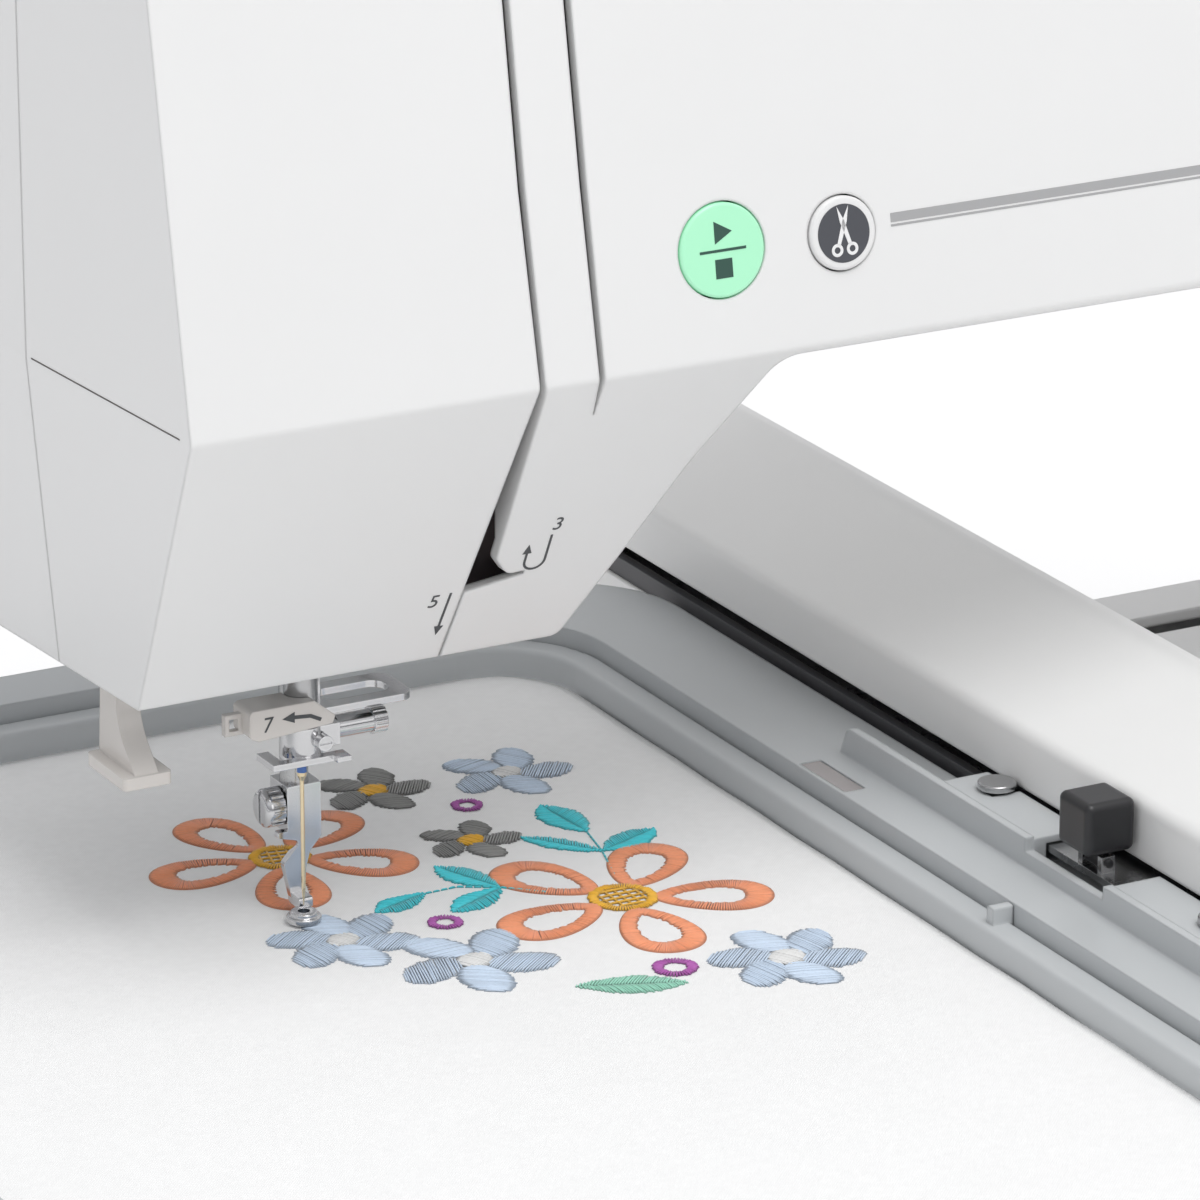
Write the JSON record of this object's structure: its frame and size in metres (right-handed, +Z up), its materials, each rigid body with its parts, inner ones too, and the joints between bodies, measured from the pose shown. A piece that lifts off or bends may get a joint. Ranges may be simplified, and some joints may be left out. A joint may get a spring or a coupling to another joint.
{
  "type": "home embroidery machine",
  "caption": "White home embroidery machine with a head, arm and pillar over a base, a screen, a threading lever, and a hooped cloth held by a carriage bar beside the needle.",
  "frame": {"origin": "centre of the footprint, on the table the machine stands on", "axes": "+X to the machine's right, +Y to its back, +Z up"},
  "size_m": [0.555, 0.5174, 0.3198],
  "materials": {
    "case_white": "fine moulded texture",
    "hoop_grey": "smooth moulded",
    "bar_grey": "smooth moulded",
    "dark_plastic": "satin moulded",
    "black_gloss": "polished",
    "taupe_clear": "milky translucent",
    "green_lens": "lit translucent cap",
    "button_grey": "polished",
    "screen_glass": "polished",
    "chrome_plate": "mirror polished",
    "steel": "ground and polished",
    "spring_steel": "oiled wire",
    "cast_alloy": "as cast",
    "bronze": "sintered",
    "rubber_black": "moulded",
    "board_green": "laminate with solder mask",
    "cloth": "plain weave with stitching"
  },
  "bodies": {
    "machine": {"base_shell": "case_white", "bottom_plate": "dark_plastic", "rubber_feet": "rubber_black", "case_fasteners": "steel", "needle_plate": "chrome_plate", "bobbin_cover": "taupe_clear", "bobbin_case": "dark_plastic", "face_cover": "case_white", "front_case": "case_white", "rear_case": "case_white", "head_base_plate": "hoop_grey", "thread_channel": "dark_plastic", "screen_bezel": "black_gloss", "touch_screen": "screen_glass", "main_frame": "cast_alloy", "shaft_bushes": "bronze", "timing_belts": "rubber_black", "main_motor": "spring_steel", "circuit_boards": "board_green", "power_inlet": "dark_plastic", "spool_tray": "hoop_grey", "x_guide_rods": "steel", "x_drive": "spring_steel", "presser_spring": "spring_steel"},
    "table": {"extension_table": "case_white"},
    "lid": {"top_lid": "case_white"},
    "handle": {"carry_handle": "case_white"},
    "rocker": {"power_switch": "dark_plastic"},
    "start_button": {"start_stop_button": "green_lens"},
    "thread_button": {"cutter_button": "button_grey"},
    "cap": {"spool_cap": "hoop_grey"},
    "winder": {"winder_spindle": "steel"},
    "needle_unit": {"needle_bar": "steel", "needle_clamp": "chrome_plate", "needle_cover": "taupe_clear", "needle": "steel"},
    "clamp_screw": {"needle_clamp_screw": "chrome_plate"},
    "presser": {"presser_bar": "steel", "embroidery_foot": "steel"},
    "presser_screw": {"foot_screw": "steel"},
    "lifter": {"presser_lifter": "chrome_plate"},
    "threader": {"threader_lever": "taupe_clear"},
    "take_up": {"take_up_lever": "chrome_plate"},
    "upper_shaft": {"main_shaft": "steel", "hand_wheel": "case_white"},
    "under_shaft": {"lower_shaft": "steel"},
    "hook": {"rotary_hook": "steel"},
    "motor_rotor": {"motor_shaft": "steel"},
    "bobbin_spool": {"bobbin": "taupe_clear"},
    "carriage": {"carriage_case": "bar_grey", "carriage_rail": "dark_plastic", "carriage_frame": "steel", "y_guide_rods": "steel", "y_drive": "spring_steel"},
    "hoop": {"hoop_carriage": "steel", "hoop_outer": "hoop_grey", "hoop_inner": "hoop_grey", "fabric": "cloth"},
    "hoop_lock": {"lock_lever": "black_gloss"},
    "hoop_clamp": {"hoop_screw": "steel"}
  },
  "joints": [
    {"name": "table_slide", "type": "slide", "parent": "machine", "child": "table", "axis": [-1, 0, 0], "range_m": [0, 0.06]},
    {"name": "lid_hinge", "type": "hinge", "parent": "machine", "child": "lid", "pos_m": [0.0125, 0.12805, 0.3108], "axis": [-1, 0, 0], "range_deg": [0, 100]},
    {"name": "handle_hinge", "type": "hinge", "parent": "machine", "child": "handle", "pos_m": [0.0125, 0.11375, 0.3078], "axis": [1, 0, 0], "range_deg": [0, 90]},
    {"name": "power_rocker", "type": "hinge", "parent": "machine", "child": "rocker", "pos_m": [0.2615, 0.09975, 0.1328], "axis": [0, 1, 0], "range_deg": [-6, 6]},
    {"name": "start_press", "type": "slide", "parent": "machine", "child": "start_button", "axis": [0, 0.9874, -0.1582], "range_m": [0, 0.0012], "stiffness_N_per_m": 300, "springref_m": -0.001},
    {"name": "cutter_press", "type": "slide", "parent": "machine", "child": "thread_button", "axis": [0, 0.9874, -0.1582], "range_m": [0, 0.0012], "stiffness_N_per_m": 300, "springref_m": -0.001},
    {"name": "cap_slide", "type": "slide", "parent": "machine", "child": "cap", "axis": [1, 0, 0], "range_m": [-0.07, 0.03]},
    {"name": "winder_spin", "type": "hinge", "parent": "machine", "child": "winder", "pos_m": [0.1625, 0.09375, 0.3108], "axis": [0, 0, 1], "continuous": true},
    {"name": "needle_slide", "type": "slide", "parent": "machine", "child": "needle_unit", "axis": [0, 0, 1], "range_m": [-0.025, 0.008], "deforming": ["fabric"]},
    {"name": "clamp_screw_turn", "type": "hinge", "parent": "needle_unit", "child": "clamp_screw", "pos_m": [-0.1155, 0.04375, 0.124], "axis": [1, 0, 0], "continuous": true},
    {"name": "lifter_hinge", "type": "hinge", "parent": "machine", "child": "lifter", "pos_m": [-0.1173, 0.06405, 0.1383], "axis": [0, -1, 0], "range_deg": [0, 25.2]},
    {"name": "presser_slide", "type": "slide", "parent": "machine", "child": "presser", "axis": [0, 0, 1], "range_m": [0, 0.006], "deforming": ["presser_spring"]},
    {"name": "foot_screw_turn", "type": "hinge", "parent": "presser", "child": "presser_screw", "pos_m": [-0.1309, 0.05275, 0.105], "axis": [1, 0, 0], "continuous": true},
    {"name": "threader_slide", "type": "slide", "parent": "machine", "child": "threader", "axis": [0, 0, 1], "range_m": [-0.028, 0], "stiffness_N_per_m": 60, "springref_m": 0.01},
    {"name": "take_up_swing", "type": "hinge", "parent": "machine", "child": "take_up", "pos_m": [-0.0909, 0.05175, 0.2318], "axis": [1, 0, 0], "range_deg": [-25, 25]},
    {"name": "main_shaft_turn", "type": "hinge", "parent": "machine", "child": "upper_shaft", "pos_m": [0.0725, 0.04375, 0.2568], "axis": [1, 0, 0], "continuous": true},
    {"name": "lower_shaft_turn", "type": "hinge", "parent": "machine", "child": "under_shaft", "pos_m": [0.0725, 0.04375, 0.0368], "axis": [1, 0, 0], "continuous": true},
    {"name": "hook_turn", "type": "hinge", "parent": "machine", "child": "hook", "pos_m": [-0.1305, 0.02325, 0.0518], "axis": [0, 0, 1], "continuous": true},
    {"name": "motor_turn", "type": "hinge", "parent": "machine", "child": "motor_rotor", "pos_m": [0.2125, 0.08975, 0.1218], "axis": [1, 0, 0], "continuous": true},
    {"name": "bobbin_turn", "type": "hinge", "parent": "machine", "child": "bobbin_spool", "pos_m": [-0.1305, 0.02325, 0.0698], "axis": [0, 0, 1], "continuous": true},
    {"name": "carriage_x", "type": "slide", "parent": "machine", "child": "carriage", "axis": [1, 0, 0], "range_m": [-0.1, 0.1]},
    {"name": "hoop_y", "type": "slide", "parent": "carriage", "child": "hoop", "axis": [0, 1, 0], "range_m": [-0.099, 0.261]},
    {"name": "lock_tilt", "type": "hinge", "parent": "hoop", "child": "hoop_lock", "pos_m": [0.0157, -0.03725, 0.098], "axis": [0, -1, 0], "range_deg": [0, 30]},
    {"name": "hoop_screw_turn", "type": "hinge", "parent": "hoop", "child": "hoop_clamp", "pos_m": [-0.265, -0.15625, 0.0864], "axis": [0, 1, 0], "continuous": true}
  ],
  "couplings": [
    {"joint": "lower_shaft_turn", "follows": "main_shaft_turn", "ratio": 1},
    {"joint": "hook_turn", "follows": "main_shaft_turn", "ratio": 2},
    {"joint": "motor_turn", "follows": "main_shaft_turn", "ratio": 3.75},
    {"joint": "lifter_hinge", "follows": "presser_slide", "rad_per_m": 72.72}
  ]
}
